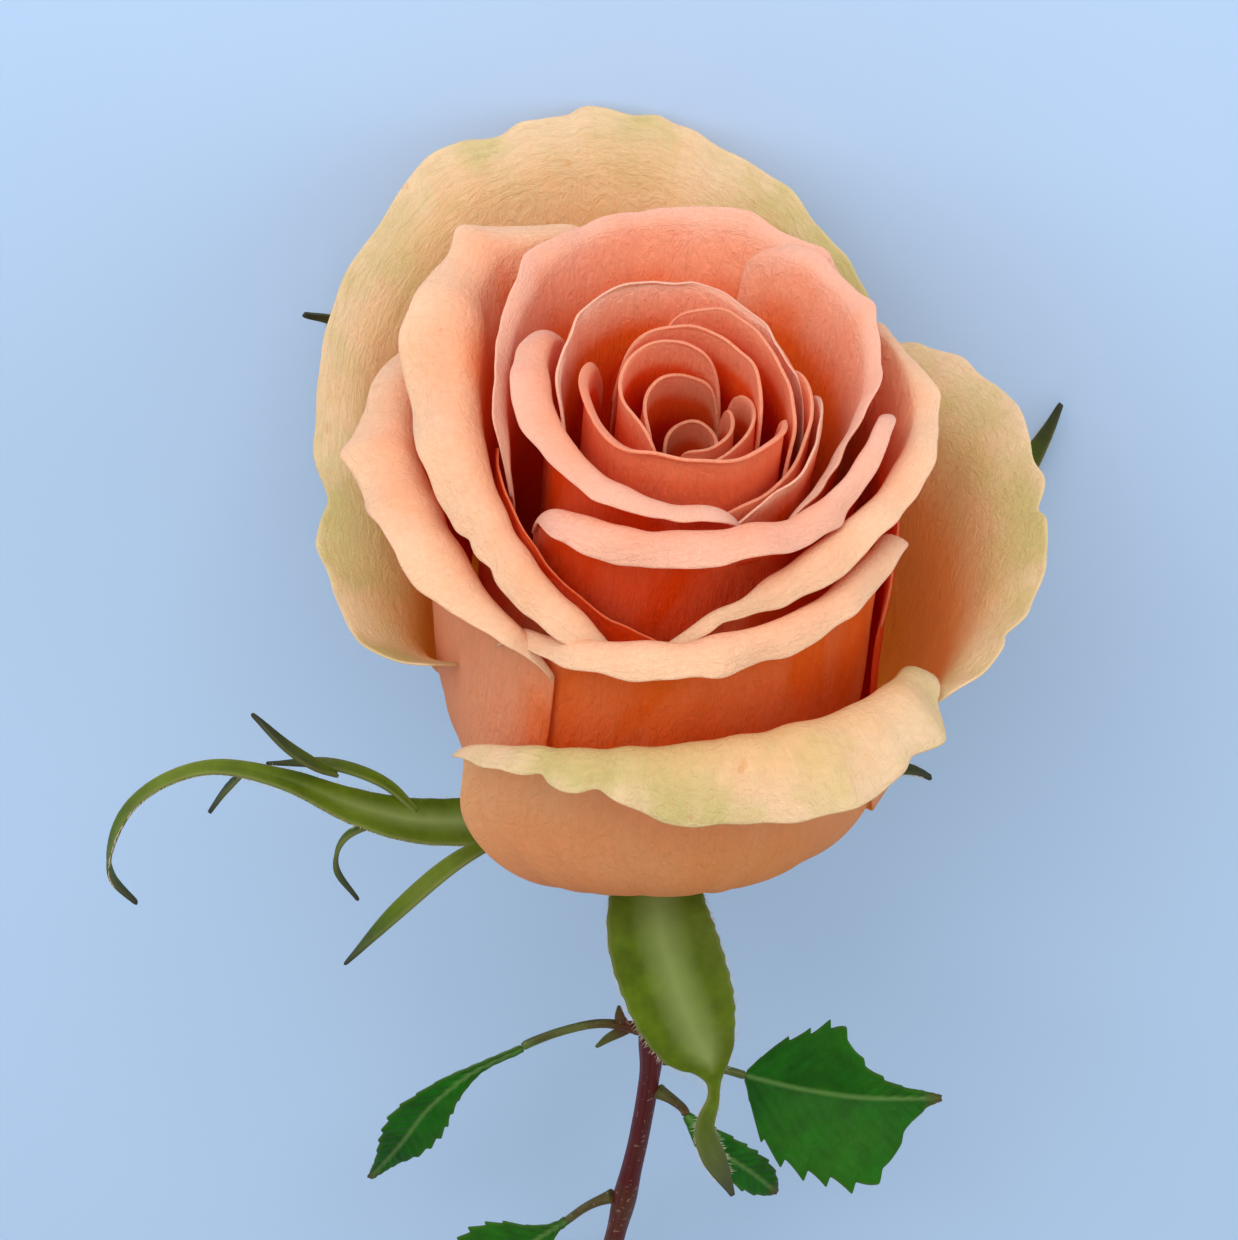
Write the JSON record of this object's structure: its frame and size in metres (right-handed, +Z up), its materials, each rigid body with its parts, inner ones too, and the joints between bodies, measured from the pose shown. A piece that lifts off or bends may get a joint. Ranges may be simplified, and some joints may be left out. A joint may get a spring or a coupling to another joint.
{
  "type": "cut rose",
  "caption": "Opened rose bloom of nested petals on a short leafy stem with long sepals, lying on its side as cut.",
  "frame": {"origin": "on the surface the rose lies on, under the middle of its bounding box", "axes": "+Z up from that surface, +Y along the stem from the bloom towards the cut end"},
  "size_m": [0.1036, 0.2618, 0.0758],
  "materials": {
    "inner_petal": "soft satin petal, pinkish peach rim over an orange base, finely veined",
    "outer_petal": "soft satin petal, pale cream-peach lip over an orange wall, finely veined",
    "guard_petal": "soft satin petal, cream-yellow with a greenish cast at the rim, finely veined",
    "sepal": "matt green with pale downy margins and purple-brown tips",
    "hip": "smooth waxy green",
    "stem": "smooth waxy dark burgundy, greener towards the cut",
    "leaf": "satin green leaf with impressed veins, paler below"
  },
  "bodies": {
    "root": {"heart_petal_1": "inner_petal", "heart_petal_2": "inner_petal", "heart_petal_3": "inner_petal", "heart_petal_4": "inner_petal", "heart_petal_5": "inner_petal", "heart_petal_6": "inner_petal", "heart_petal_7": "inner_petal", "heart_petal_8": "inner_petal", "heart_petal_9": "inner_petal", "inner_petal_1": "inner_petal", "inner_petal_2": "inner_petal", "inner_petal_3": "inner_petal", "inner_petal_4": "inner_petal", "deep_petal_front": "inner_petal", "inner_petal_5": "inner_petal", "inner_petal_6": "inner_petal", "deep_petal_left": "inner_petal", "outer_petal_1": "outer_petal", "outer_petal_2": "outer_petal", "outer_petal_3": "outer_petal", "deep_petal_right": "inner_petal", "outer_petal_4": "outer_petal", "back_petal": "outer_petal", "guard_petal_right": "guard_petal", "guard_petal_front": "guard_petal", "guard_petal_back": "guard_petal", "sepal_front": "sepal", "sepal_left": "sepal", "sepal_back_left": "sepal", "sepal_back_right": "sepal", "sepal_right": "sepal", "receptacle": "hip", "stem": "stem", "leaf_left_stalk": "stem", "leaf_left_blade": "leaf", "leaf_right_stalk": "stem", "leaf_right_large_leaflet": "leaf", "leaf_right_low_stalk": "stem", "leaf_right_small_leaflet": "leaf", "leaf_low_stalk": "stem", "leaf_low_blade": "leaf"}
  },
  "joints": []
}
